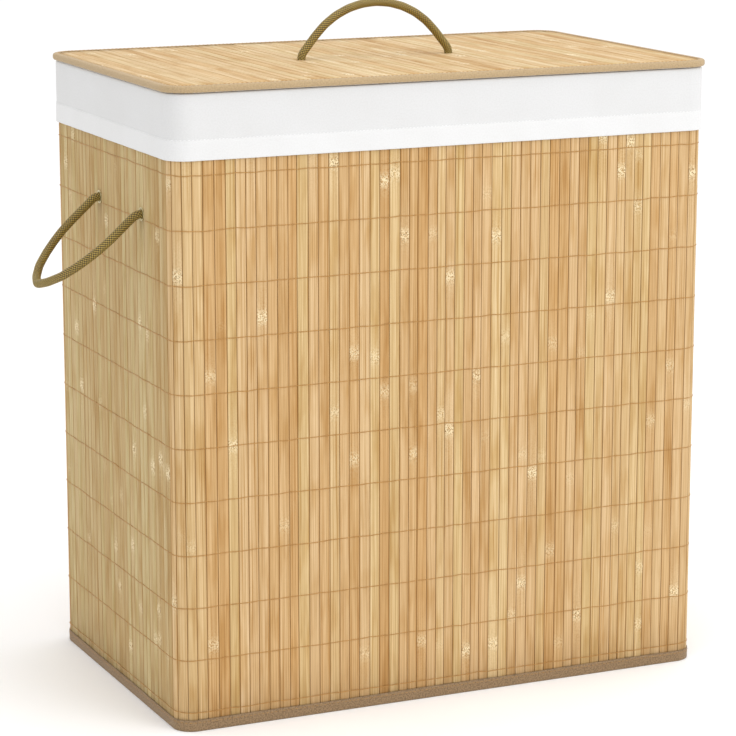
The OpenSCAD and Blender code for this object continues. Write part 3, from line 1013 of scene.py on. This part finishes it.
@dataclass
class Liner:
    """The cotton bag: a cuff folded over the rim, walls that hang inside, and a floor.

    Attributes:
        outline: the wall mat's outer face seen from above.
        rim: height of the rim.
        cuff: how far the cuff hangs down outside.
        hem: height of the double hem at the cuff's edge.
        inset: how far the bag hangs inside the mat's outer face.
        side_inset: the same beside the handles' knots, at the left and right.
        floor: height of the bag's floor.
        thickness: of the cloth.
    """

    outline: Outline
    rim: float
    cuff: float = 60 * MM
    hem: float = 18 * MM
    inset: float = 10.6 * MM
    side_inset: float = 23.9 * MM
    floor: float = 6.3 * MM
    thickness: float = 0.8 * MM
    sides: int = 420
    # Where the side walls start to draw in, and where they have done so
    draw_high: float = 560 * MM
    draw_low: float = 498 * MM

    def cuff_profile(self) -> ndarray:
        """Distance out and height from the cuff's lower fold, up the hem, up the cuff and over the rim.

        Returns:
            The profile's places, each as distance out from the mat and height.
        """
        edge, top = self.rim - self.cuff, self.rim
        hem_top = edge + self.hem
        hem_z = np.linspace(edge + 1.2 * MM, hem_top - 0.6 * MM, 7)
        leg_z = np.linspace(hem_top + 2.5 * MM, top - 3.2 * MM, 11)
        hem = np.stack([np.full(7, 2.42 * MM), hem_z], axis=-1)
        leg = np.stack([np.full(11, 1.78 * MM), leg_z], axis=-1)
        fold = np.array([[1.25, 0.5], [1.6, 0.05], [2.1, 0.1], [2.36, 0.5]]) * MM + [0, edge]
        step = np.array([[2.34, 0.1], [1.95, 0.75]]) * MM + [0, hem_top]
        over = np.array([
            [1.62, -1.5], [1.1, -0.55], [0.2, -0.12], [-2, -0.05],
            [-5, -0.05], [-8, -0.1], [-9.6, -0.35], [-10.3, -1.2],
        ]) * MM + [0, top]
        return np.concatenate([fold, hem, step, leg, over])

    def skin(self, rng: np.random.Generator) -> Skin:
        """The whole bag as one cloth.

        Each ring is a rounded rectangle. Outside it is the outline plus the profile. Inside,
        its walls hang with soft vertical folds, a sum of three sines round the bag that
        shift slowly with height, and fade out towards the rim. The floor's rings shrink
        to the middle, over low creases.

        Args:
            rng: the source of chance.

        Returns:
            The bag's face, which the thickness goes behind.
        """
        s = self.outline.spaced(self.sides)[None, :]
        profile = self.cuff_profile()
        out, z = profile[:, :1], profile[:, 1:]
        cuff_s = 2 * np.pi * s / self.outline.total
        ripple = 0.13 * MM * (np.sin(23 * cuff_s + 9 * z / self.cuff) + np.sin(57 * cuff_s + 1.3))
        ripple = ripple * np.clip((self.rim - 4 * MM - z) / (20 * MM), 0, 1)
        outside = self.outline.place(s, out + ripple, z)

        z = np.linspace(self.rim - 2.4 * MM, self.floor + 6 * MM, 44)[:, None]
        phase = rng.uniform(0, 2 * np.pi, 4)
        bend = np.array([np.sin(3.1 * z / 0.3 + phase[3])])[0]
        folds = (
            0.5 + 0.22 * np.sin(19 * cuff_s + phase[0] + 0.8 * bend)
            + 0.18 * np.sin(31 * cuff_s + phase[1] - 1.1 * bend) + 0.1 * np.sin(67 * cuff_s + phase[2] + 2 * bend)
        )
        loose = np.clip((self.rim - 6 * MM - z) / 0.09, 0, 1) * np.clip((z - self.floor) / 0.05, 0.25, 1)
        inward = 4.5 * MM * folds * loose
        drawn = np.clip((self.draw_high - z) / (self.draw_high - self.draw_low), 0, 1)
        drawn = drawn**2 * (3 - 2 * drawn)
        side_in = self.inset + (self.side_inset - self.inset) * drawn
        walls = self.outline.ring(
            s, self.outline.half_w - side_in - inward, self.outline.half_d - self.inset - inward, 9 * MM, z)

        share = np.concatenate([[0.998, 0.992, 0.98], np.linspace(0.94, 0.02, 16)])[:, None]
        width = (self.outline.half_w - self.side_inset) * share
        depth = (self.outline.half_d - self.inset) * share
        flat = self.outline.ring(s, width, depth, 9 * MM * share, 0.0)
        crease = np.sin(31 * flat[..., 0] + 17 * flat[..., 1]) * np.sin(23 * flat[..., 1] - 11 * flat[..., 0])
        settle = np.concatenate([[3.5, 1.6, 0.6], np.zeros(16)])[:, None] * MM
        flat[..., 2] = self.floor + settle + 0.7 * MM * crease**2 * (share < 0.97)
        points = np.concatenate([outside, walls, flat])

        steps = np.linalg.norm(np.diff(points, axis=0), axis=-1).mean(1)
        down = np.concatenate([[0], np.cumsum(steps)])
        around = np.append(self.outline.spaced(self.sides), self.outline.total)
        chart = np.stack(np.meshgrid(down, around, indexing="ij"), axis=-1)[..., ::-1]
        band = np.zeros(len(points))
        band[:12] = 1
        return Skin(points[None], Way.LAST_CAPPED, {"band": band[None, :, None]}, chart[None])

    def build(self, finishes: Finishes) -> None:
        """Builds the bag and the stitches of its hem.

        Args:
            finishes: the shared finishes.
        """
        bag = self.skin(np.random.default_rng(BAG_SEED)).build("liner_bag")
        bag.data.materials.append(finishes.cotton)
        shell = bag.modifiers.new("cloth thickness", "SOLIDIFY")
        shell.thickness, shell.offset = self.thickness, -1
        nodes = ("liner_cuff", "liner_front", "liner_back", "liner_left", "liner_right", "liner_floor")
        ride_as(bag, "hamper", "white_cloth", *nodes)
        sewn = stitch_row(
            self.outline, 1.95 * MM, self.rim - self.cuff + self.hem + 0.75 * MM, 3.6 * MM, False
        ).build("cuff_stitches")
        sewn.data.materials.append(finishes.white_thread)
        ride_as(sewn, "hamper", "white_cloth")


def padded_panel(outline: Outline, inset: float, low: float, high: float, ripple: float) -> Skin:
    """A thin cloth panel with both faces: rings grow from the middle to the edge and shrink back.

    Its height follows a product of sines that fades at the edge.

    Args:
        outline: what the panel's edge follows.
        inset: how far inside it the edge is.
        low: height of the lower face.
        high: height of the upper face.
        ripple: how far the cloth waves up and down.

    Returns:
        The panel's surface.
    """
    sides = 240
    share = np.concatenate([np.linspace(0.02, 0.97, 22), [0.99, 1.0]])
    share = np.concatenate([share, share[::-1]])[:, None]
    z = np.where(np.arange(len(share))[:, None] < len(share) // 2, high, low)
    s = outline.spaced(sides)[None, :]
    points = outline.ring(
        s, (outline.half_w - inset) * share, (outline.half_d - inset) * share, (outline.radius - inset) * share, z)
    x, y = points[..., 0], points[..., 1]
    points[..., 2] += ripple * np.sin(34 * x + 8 * y) * np.sin(29 * y - 6 * x) * (1 - share**4)
    chart = np.concatenate([points, points[:, :1]], axis=1)[..., :2]
    return Skin(points[None], values={"band": np.zeros(1)}, chart=chart[None])


@dataclass
class HingeStrip:
    """The cotton strip sewn to the back wall and to the lid's rear edge, which is the hinge.

    Attributes:
        width: along X.
        thickness: of the cloth.
        line: the strip's middle from its foot on the mat up to the lid, as y and z.
    """

    width: float
    line: ndarray
    thickness: float = 0.8 * MM
    columns: int = 120

    def build(self, finishes: Finishes) -> None:
        """Builds the strip: its section, the line offset both ways, is carried across in X.

        Args:
            finishes: the shared finishes.
        """
        line = even_line(np.insert(self.line, 0, 0.0, axis=1), 1.6 * MM)
        line = running_mean(line, 3)[:, 1:]
        ahead = np.gradient(line, axis=0)
        ahead /= np.linalg.norm(ahead, axis=1, keepdims=True)
        aside = np.stack([ahead[:, 1], -ahead[:, 0]], axis=-1)
        half = self.thickness / 2
        section = np.concatenate([line + aside * half, (line - aside * half)[::-1]])
        x = np.linspace(-self.width / 2, self.width / 2, self.columns)[:, None]
        wave = 0.12 * MM * np.sin(90 * x + 40 * section[:, 1]) * (section[:, 1] < 0.585)
        points = np.stack(np.broadcast_arrays(x, section[:, 0] + wave, section[:, 1]), axis=-1)
        far = np.concatenate([[0], np.cumsum(np.linalg.norm(np.diff(section, axis=0), axis=1))])
        chart = np.stack(np.meshgrid(x[:, 0], np.append(far, far[-1]), indexing="ij"), axis=-1)
        strip = Skin(points[None], values={"band": np.zeros(1)}, chart=chart[None]).build("hinge_strip")
        strip.data.materials.append(finishes.cotton)
        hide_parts("hinge_strip_wall", "hinge_strip_lid")
        joint = next(j for j in frame["joints"] if j["name"] == "lid_hinge")
        y, z = joint["pos_m"][1:]
        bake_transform(strip)
        LOG.info("hinge strip: %d mm wide", self.width / MM)


# ---- Rope handles ----


@dataclass
class Rope:
    """A braided rope handle: one rope from a knot, out of a hole, round a loop and back in.

    Attributes:
        name: the rope's name; its knots are called name_knots.
        body: the name of the handle's body; not used.
        base: the body that holds its ends.
        route: the rope's middle from one knot to the other.
        guide: a direction that is never along the rope.
        leave: where the rope leaves the object; not used.
        bend_to: a place a little further out from there; not used.
        nodes: the loop's CAD node and the knots' CAD node.
        tail: direction of a knot's short tail.
        radius: of the rope.
        strands: strands that wind each way.
        ridge: distance between ridges along the rope.
    """

    name: str
    body: str
    base: str
    route: ndarray
    guide: ndarray
    leave: tuple[float, float, float]
    bend_to: tuple[float, float, float]
    nodes: tuple[str, str]
    tail: ndarray
    length: float
    radius: float = 4 * MM
    strands: int = 8
    ridge: float = 2.6 * MM
    relief: float = 0.6 * MM
    sides: int = 40
    step: float = 0.5 * MM

    def braid(self, line: ndarray, guide: ndarray, radius: float, closed: bool = False) -> Skin:
        """Sweeps a braided tube along a line.

        Two families of strands wind opposite ways. A strand's height is the squared cosine
        of its phase, strands * angle plus or minus 2 pi * distance / ridge, and whichever
        family is on top alternates like a chessboard.

        Args:
            line: the tube's middle.
            guide: a direction that is never along it.
            radius: the tube's radius at its crowns.
            closed: True if the line is a loop.

        Returns:
            The tube's surface, with crown and lay values.
        """
        first, second = tube_frame(line, guide)
        far = np.concatenate([[0], np.cumsum(np.linalg.norm(np.diff(line, axis=0), axis=1))])[:, None]
        angle = (np.arange(self.sides) * 2 * np.pi / self.sides)[None, :]
        turn = 2 * np.pi * far / self.ridge
        right, left = self.strands * angle + turn, self.strands * angle - turn
        on_top = (np.round(right / (2 * np.pi)) + np.round(left / (2 * np.pi))) % 2
        high_r, high_l = np.cos(right / 2) ** 2, np.cos(left / 2) ** 2
        crown = np.where(on_top == 1, high_r + 0.35 * high_l, high_l + 0.35 * high_r) / 1.35
        size = radius + 0.1 * MM - self.relief * (1 - np.sqrt(crown))
        ring = first[:, None] * np.cos(angle)[..., None] + second[:, None] * np.sin(angle)[..., None]
        points = line[:, None] + ring * size[..., None]
        lay = np.where(on_top == 1, right, left) / self.strands * radius
        return Skin(points[None], Way.LOOP if closed else Way.CAPPED, {"crown": crown[None], "lay": lay[None]})

    def knot(self, centre: ndarray, into: ndarray) -> Skin:
        """A tight overhand knot: a trefoil loop drawn up small, entered by the rope, with a tail.

        The loop is (sin t + 2 sin 2t, cos t - 2 cos 2t, -sin 3t), scaled to the knot.

        Args:
            centre: the knot's middle.
            into: unit direction from the knot to its hole.

        Returns:
            The knot's surface.
        """
        t = np.linspace(0.35, 2 * np.pi - 0.35, 60)
        across = np.cross(into, self.tail)
        across /= np.linalg.norm(across)
        other = np.cross(across, into)
        loop = np.stack([np.sin(t) + 2 * np.sin(2 * t), np.cos(t) - 2 * np.cos(2 * t), -1.5 * np.sin(3 * t)], axis=-1)
        loop = loop * 1.62 * MM
        loop = loop[:, :1] * across + loop[:, 1:2] * other + loop[:, 2:] * into
        tail = np.outer([9 * MM, 13 * MM], other)
        path = np.concatenate([[into * 9 * MM, into * 4 * MM], loop, tail]) + centre
        line = running_mean(running_mean(even_line(path, self.step), 7), 7)
        ahead = np.gradient(line, axis=0)
        ahead /= np.linalg.norm(ahead, axis=1, keepdims=True)
        guide = np.linalg.svd(ahead - ahead.mean(0))[2][-1]
        return self.braid(line, guide, self.radius - 0.2 * MM)

    def build(self, finishes: Finishes) -> None:
        """Builds the rope and its two knots.

        Args:
            finishes: the shared finishes.
        """
        line = running_mean(running_mean(even_line(self.route, self.step), 15), 11)
        rope = self.braid(line, self.guide, self.radius).build(self.name)
        rope.data.materials.append(finishes.cord)
        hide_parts(self.nodes[0])
        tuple(self.leave)
        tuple(self.bend_to)
        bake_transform(rope)
        for number, (end, inner) in enumerate(((self.route[0], self.route[1]), (self.route[-1], self.route[-2]))):
            into = (inner - end) / np.linalg.norm(inner - end)
            knot = self.knot(end, into).build(f"{self.name}_knot_{number + 1}")
            knot.data.materials.append(finishes.cord)
            ride_as(knot, self.base, "rope", *([self.nodes[1]] if number == 0 else []))
        LOG.info("%s: %.3f m of rope", self.name, length_of(line))


@dataclass
class Eyelets:
    """Pressed brass eyelets that line a side's two rope holes.

    Attributes:
        side: which side they are on.
        wall_x: distance of the mat's outer face from the middle.
        y: the two places from front to back.
        z: height of the holes.
        section: an eyelet's closed section, as radius and distance out from the face.
    """

    side: Side
    wall_x: float
    y: tuple[float, float]
    z: float
    section: ndarray = field(default_factory=lambda: np.array([
        [4.5, -3.3], [4.5, -0.2], [4.62, 0.25], [4.95, 0.58], [5.4, 0.7], [5.9, 0.66], [6.3, 0.45], [6.5, 0.12],
        [6.4, 0.0], [5.0, 0.0], [5.0, -3.0], [6.4, -3.0], [6.5, -3.15], [6.3, -3.5], [5.8, -3.7], [5.0, -3.65],
        [4.62, -3.5],
    ]) * MM)

    def build(self, finishes: Finishes) -> None:
        """Turns the section round each hole's middle.

        Args:
            finishes: the shared finishes.
        """
        turn = np.linspace(0, 2 * np.pi, 48, endpoint=False)[None, :, None]
        radius, out = self.section[:, 0], self.section[:, 1]
        y = np.array(self.y)[:, None, None] + radius * np.cos(turn)
        z = self.z + radius * np.sin(turn)
        x = self.side.value * (self.wall_x + out)
        points = np.stack(np.broadcast_arrays(x, y, z), axis=-1)
        name = self.side.name.lower() + "_pressed_eyelets"
        made = Skin(points, Way.LOOP).build(name)
        made.data.materials.append(finishes.eyelet)
        ride_as(made, "hamper", "eyelet_brass", self.side.name.lower() + "_eyelets")
        LOG.info("%s", name)


# ---- Lid ----


@dataclass
class Lid:
    """The lid: bamboo slats from front to back on a board, bound with tape, lined with cloth.

    Attributes:
        outline: the lid's edge seen from above.
        slat_low: height of the slats' underside.
        slat_high: height of their face.
        low: height of the binding's underside.
        high: height of the binding's top.
        holes: the rope holes' distance from the middle, along X.
    """

    outline: Outline
    slat_low: float
    slat_high: float
    low: float
    high: float
    holes: tuple[float, float]
    pitch: float = 10 * MM
    hole_r: float = 4.75 * MM
    tape_w: float = 7 * MM

    def slats(self, finishes: Finishes) -> None:
        """Lays the slats; their ends follow the lid's outline, just inside it.

        Args:
            finishes: the shared finishes.
        """
        rng = np.random.default_rng(LID_SEED)
        cut = Slats(self.slat_high - self.slat_low, lean=0.2 * MM, uneven=0.08 * MM, bulge=0.15 * MM)
        edge = self.outline.half_w - 1 * MM
        seams = cut.lines(-edge, edge, self.pitch, rng, self.holes, 2 * self.hole_r)

        def depth(x: ndarray) -> ndarray:
            """Half the depth of the mat at x."""
            return self.outline.half_depth_at(np.clip(x, -edge, edge), 1 * MM)

        def place(across: ndarray, out: ndarray, along: ndarray) -> ndarray:
            """Across is X, along is Y, and out is up from the slats' face."""
            return np.stack(np.broadcast_arrays(across, along, self.slat_high - 0.1 * MM + out), axis=-1)

        holes = tuple((x, 0.0) for x in self.holes)
        mat = cut.cut(seams, lambda x: -depth(x), depth, place, rng, holes, self.hole_r).build("lid_mat")
        mat.data.materials.append(finishes.lid_bamboo)
        ride_as(mat, "lid", "lid_bamboo", "lid_slats")
        LOG.info("lid: %d slats", len(seams) - 1)

    def binding(self) -> Tape:
        """The tape round the lid's edge: a rounded U open towards the middle.

        Returns:
            The tape, ready to build.
        """
        low, high, wide = self.low / MM, self.high / MM, -self.tape_w / MM
        section = np.array([
            [wide, high - 0.15], [-5, high], [-3, high], [-1.7, high - 0.15], [-0.7, high - 0.7], [-0.1, high - 1.8],
            [0, high - 3.2], [-0.1, low + 1.8], [-0.7, low + 0.7], [-1.7, low + 0.15], [-3, low], [wide, low],
            [wide, low + 0.6], [-1.6, low + 0.7], [-0.85, low + 2], [-0.85, high - 2], [-1.6, high - 0.75],
            [wide, high - 0.7],
        ]) * MM
        return Tape("lid_binding", self.outline, section, -5.6 * MM, self.high - 0.05 * MM, flat=True)

    def build(self, finishes: Finishes) -> None:
        """Builds the slats, the binding and the cloth underneath.

        Args:
            finishes: the shared finishes.
        """
        self.slats(finishes)
        self.binding().build(finishes.lid_tape, finishes.thread, "lid", "lid_edge_binding")
        node_low, node_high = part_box("lid_underside_cloth")
        panel = padded_panel(self.outline, 1.2 * MM, node_low.z - 0.3 * MM, node_high.z - 0.35 * MM, 0.15 * MM)
        lining = panel.build("lid_lining")
        lining.data.materials.append(finishes.cotton)
        ride_as(lining, "lid", "lining_cloth", "lid_underside_cloth")


# ---- Stage ----


@dataclass
class Studio:
    """A pale floor, soft studio light, and the camera.

    Attributes:
        eye: the camera's place.
        heading: how far it is turned from +Y towards +X, in degrees.
        dip: how far it looks down, in degrees.
        lens: its focal length on a 36 mm sensor, in millimetres.
    """

    eye: tuple[float, float, float] = (-1.159, -2.536, 0.886)
    heading: float = 24.41
    dip: float = 12.10
    lens: float = 141.1
    sky: float = 1.06

    def camera(self) -> None:
        """Sets the camera, with no shift and no depth of field."""
        data = bpy.data.cameras.new("camera")
        data.lens, data.sensor_width = self.lens, 36.0
        data.clip_start, data.clip_end = 0.05, 100.0
        seen = bpy.data.objects.new("camera", data)
        seen.location = self.eye
        seen.rotation_euler = (math.radians(90 - self.dip), 0, -math.radians(self.heading))
        bpy.context.scene.collection.objects.link(seen)
        bpy.context.scene.camera = seen

    def floor(self) -> None:
        """Lays a wide matt floor just under the hamper."""
        size = 30.0
        mesh = bpy.data.meshes.new("studio_floor")
        corners = [(-size, -size, 0), (size, -size, 0), (size, size, 0), (-size, size, 0)]
        mesh.from_pydata(corners, [], [(0, 1, 2, 3)])
        made = bpy.data.objects.new("studio_floor", mesh)
        bpy.context.scene.collection.objects.link(made)
        mesh.materials.append(Plain("matt_white_paint", "#fcfcfc", "#fafafa", 0.4, 0.9).make())

    def lamp(self, name: str, place: tuple[float, float, float], size: float, power: float) -> None:
        """Hangs a square soft lamp that faces the middle of the hamper.

        Args:
            name: the lamp's name.
            place: where it hangs.
            size: length of its side.
            power: its power in watts.
        """
        data = bpy.data.lights.new(name, "AREA")
        data.shape, data.size, data.energy = "SQUARE", size, power
        lamp = bpy.data.objects.new(name, data)
        lamp.location = place
        aim = np.array([0, 0, 0.32]) - np.array(place)
        lamp.rotation_euler = (
            math.atan2(math.hypot(aim[0], aim[1]), -aim[2]), 0, math.atan2(aim[1], aim[0]) - math.pi / 2)
        bpy.context.scene.collection.objects.link(lamp)

    def build(self) -> None:
        """Builds the floor, the sky, the lamps and the camera."""
        scene = bpy.context.scene
        scene.view_settings.view_transform = "Standard"
        world = scene.world or bpy.data.worlds.new("studio")
        scene.world = world
        world.use_nodes = True
        backdrop = world.node_tree.nodes["Background"]
        backdrop.inputs["Color"].default_value = linear("#ffffff")
        backdrop.inputs["Strength"].default_value = self.sky
        self.floor()
        self.lamp("key_lamp", (1.3, -2.6, 1.9), 1.6, 21.0)
        self.lamp("top_lamp", (0.2, -0.4, 2.6), 1.8, 16.0)
        self.camera()
        LOG.info("studio: camera at %s", self.eye)


# ---- The hamper ----


@dataclass
class Hamper:
    """The whole hamper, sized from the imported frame.

    Attributes:
        finishes: its materials.
        body: the wall mat's outer face seen from above.
        lid: the lid's edge seen from above.
        rim: height of the rim.
    """

    finishes: Finishes
    body: Outline
    lid: Outline
    rim: float
    # The left handle's route in its own plane: distance from its middle, reach from the wall
    SIDE_HALF = np.array([
        [58, 0], [57, 8], [57, 20], [57, 32], [55, 46], [50, 59], [43, 72], [32, 86], [16, 97],
    ]) * MM
    SIDE_TIP = np.array([[0, 103]]) * MM
    DROOP = math.radians(41.5)
    ARCH_SLOPE = math.radians(51)
    ARCH_RISE = 48 * MM
    ARCH_STEPS = 11

    @staticmethod
    def measure(finishes: Finishes) -> "Hamper":
        """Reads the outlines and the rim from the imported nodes."""
        front, side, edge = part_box("front_slats"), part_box("right_slats"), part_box("lid_edge_binding")
        body = Outline(side[1].x, -front[0].y, 18 * MM)
        lid = Outline(edge[1].x, edge[1].y, 25 * MM)
        return Hamper(finishes, body, lid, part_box("liner_cuff")[1].z)

    def side_route(self, side: Side, pivot: tuple[float, float, float]) -> ndarray:
        """A side handle from knot to knot: in through the hole, round the drooping loop, and back.

        Args:
            side: which side it is on.
            pivot: the middle of the line through its two holes.

        Returns:
            The rope's middle.
        """
        x, y, z = pivot
        half = np.concatenate([self.SIDE_HALF * [-1, 1], self.SIDE_TIP, self.SIDE_HALF[::-1]])
        loop = np.stack([
            x + side.value * half[:, 1] * math.cos(self.DROOP),
            y + half[:, 0],
            z - half[:, 1] * math.sin(self.DROOP),
        ], axis=-1)
        knot_x = side.value * (self.body.half_w - 13 * MM)
        mouth_x = side.value * self.body.half_w
        ends = [[[knot_x, line_y, z], [mouth_x, line_y, z]] for line_y in (loop[0, 1], loop[-1, 1])]
        return np.concatenate([ends[0], loop, ends[1][::-1]])

    def arch_route(self, pivot: tuple[float, float, float], half_span: float) -> ndarray:
        """The lid handle from knot to knot: up through the lid, two straight legs and a round arch.

        The arch's radius is (half span * tan slope - rise) / (1 / cos slope - 1).

        Args:
            pivot: the middle of the line through its two holes.
            half_span: half the distance between the holes.

        Returns:
            The rope's middle.
        """
        slope = self.ARCH_SLOPE
        radius = (half_span * math.tan(slope) - self.ARCH_RISE) / (1 / math.cos(slope) - 1)
        turn = np.linspace(-slope, slope, self.ARCH_STEPS)
        x = np.concatenate([[-half_span], radius * np.sin(turn), [half_span]])
        rise = np.concatenate([[0], self.ARCH_RISE - radius * (1 - np.cos(turn)), [0]])
        arch = np.stack([x, np.zeros_like(x), pivot[2] + rise], axis=-1)
        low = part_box("lid_edge_binding")[0].z
        knot_z = low - 9.3 * MM
        ends = [[[sign * half_span, 0, knot_z], [sign * half_span, 0, low]] for sign in (-1, 1)]
        return np.concatenate([ends[0], arch, ends[1][::-1]])

    def ropes(self) -> None:
        """Builds the two side handles, their eyelets and the lid's handle."""
        pivots = {j["name"]: j["pos_m"] for j in frame["joints"]}
        for side in Side:
            word = side.name.lower()
            pivot = pivots[f"{word}_handle_swing"]
            droop = np.array([side.value * math.cos(self.DROOP), 0, -math.sin(self.DROOP)])
            Rope(
                name=f"{word}_rope",
                body=f"{word}_handle",
                base="hamper",
                route=self.side_route(side, pivot),
                guide=np.cross([0, 1, 0], droop),
                leave=(side.value * (self.body.half_w + 0.5 * MM), pivot[1], pivot[2]),
                bend_to=(side.value * (self.body.half_w + 12.5 * MM), pivot[1], pivot[2]),
                nodes=(f"{word}_handle_rope", f"{word}_rope_knots"),
                tail=np.array([0, 0.2, -1.0]),
                length=0.293,
            ).build(self.finishes)
            holes = (pivot[1] - self.SIDE_HALF[0, 0], pivot[1] + self.SIDE_HALF[0, 0])
            Eyelets(side, self.body.half_w, holes, pivot[2]).build(self.finishes)
        pivot = pivots["lid_handle_swing"]
        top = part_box("lid_slats")[1].z
        Rope(
            name="lid_rope",
            body="lid_handle",
            base="lid",
            route=self.arch_route(pivot, 78 * MM),
            guide=np.array([0, 1.0, 0]),
            leave=(0, 0, top),
            bend_to=(0, 0, top + 11.5 * MM),
            nodes=("lid_handle_rope", "lid_rope_knots"),
            tail=np.array([0.3, 1.0, 0]),
            length=0.229,
        ).build(self.finishes)

    def bottom_binding(self) -> Tape:
        """The tape round the mat's lower edge, a U open upwards."""
        section = np.array([
            [0.75, 11], [0.82, 8], [0.8, 4], [0.75, 1.2], [0.45, 0.35], [-0.1, 0], [-3.1, 0], [-3.6, 0.35],
            [-3.8, 1.2], [-3.8, 11], [-3.0, 11], [-3.0, 0.9], [0.05, 0.9], [0.05, 11],
        ]) * MM
        return Tape("bottom_tape", self.body, section, 0.78 * MM, 8.6 * MM, flat=False)

    def base(self) -> None:
        """Builds the tape round the bottom and the cloth under the base board."""
        self.bottom_binding().build(
            self.finishes.bottom_tape, self.finishes.thread, "hamper", "bottom_binding")
        low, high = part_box("bottom_cloth")
        panel = padded_panel(self.body, self.body.half_w - high.x, low.z + 0.1 * MM, high.z - 0.1 * MM, 0.05 * MM)
        cloth = panel.build("base_cloth")
        cloth.data.materials.append(self.finishes.lining)
        ride_as(cloth, "hamper", "lining_cloth", "bottom_cloth")
        LOG.info("base cloth: %.3f by %.3f m", high.x - low.x, high.y - low.y)

    def hinge(self) -> HingeStrip:
        """The hinge strip, from its foot on the mat, over the hem and the cuff, to the lid's edge.

        Returns:
            The strip, ready to build.
        """
        low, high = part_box("hinge_strip_wall")
        lid_low, lid_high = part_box("hinge_strip_lid")
        wall, hem = self.body.half_d, self.rim - Liner.cuff
        line = np.array([
            [wall + 0.6 * MM, low.z], [wall + 0.6 * MM, hem - 4 * MM], [wall + 2.95 * MM, hem + 0.5 * MM],
            [wall + 2.95 * MM, hem + Liner.hem], [wall + 2.4 * MM, hem + Liner.hem + 4 * MM],
            [wall + 2.4 * MM, high.z - 3 * MM],
            [(lid_low.y + lid_high.y) / 2, lid_low.z + 1 * MM], [(lid_low.y + lid_high.y) / 2, lid_high.z - 0.5 * MM],
        ])
        return HingeStrip(high.x - low.x, line)

    def hidden_pieces(self) -> None:
        """Dresses the CAD nodes that keep their shape."""
        looks = {
            "base_board": self.finishes.board, "lid_board": self.finishes.board,
            "frame_wire_left": self.finishes.steel, "frame_wire_right": self.finishes.steel,
            "frame_joiners": self.finishes.steel, "top_binding": self.finishes.rim_tape,
        }
        for node, look in looks.items():
            data = frame["nodes"][node].data
            data.materials.clear()
            data.materials.append(look)
        LOG.info("dressed %d packed nodes", len(looks))

    def build(self) -> None:
        """Builds every sub-assembly in order."""
        self.ropes()
        pivot = next(j["pos_m"] for j in frame["joints"] if j["name"] == "left_handle_swing")
        holes = (pivot[1] - self.SIDE_HALF[0, 0], pivot[1] + self.SIDE_HALF[0, 0])
        WallMat(self.body, 1 * MM, self.rim - 2 * MM, 10 * MM, pivot[2], holes).build(self.finishes)
        self.base()
        Liner(self.body, self.rim).build(self.finishes)
        self.hinge().build(self.finishes)
        slats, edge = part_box("lid_slats"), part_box("lid_edge_binding")
        Lid(self.lid, slats[0].z, slats[1].z, edge[0].z, edge[1].z, (-78 * MM, 78 * MM)).build(self.finishes)
        self.hidden_pieces()


def main() -> None:
    """Builds the studio and the hamper."""
    logging.basicConfig(level=logging.INFO, format="%(name)s: %(message)s")
    Studio().build()
    Hamper.measure(Finishes.make()).build()


if __name__ == "__main__":
    main()
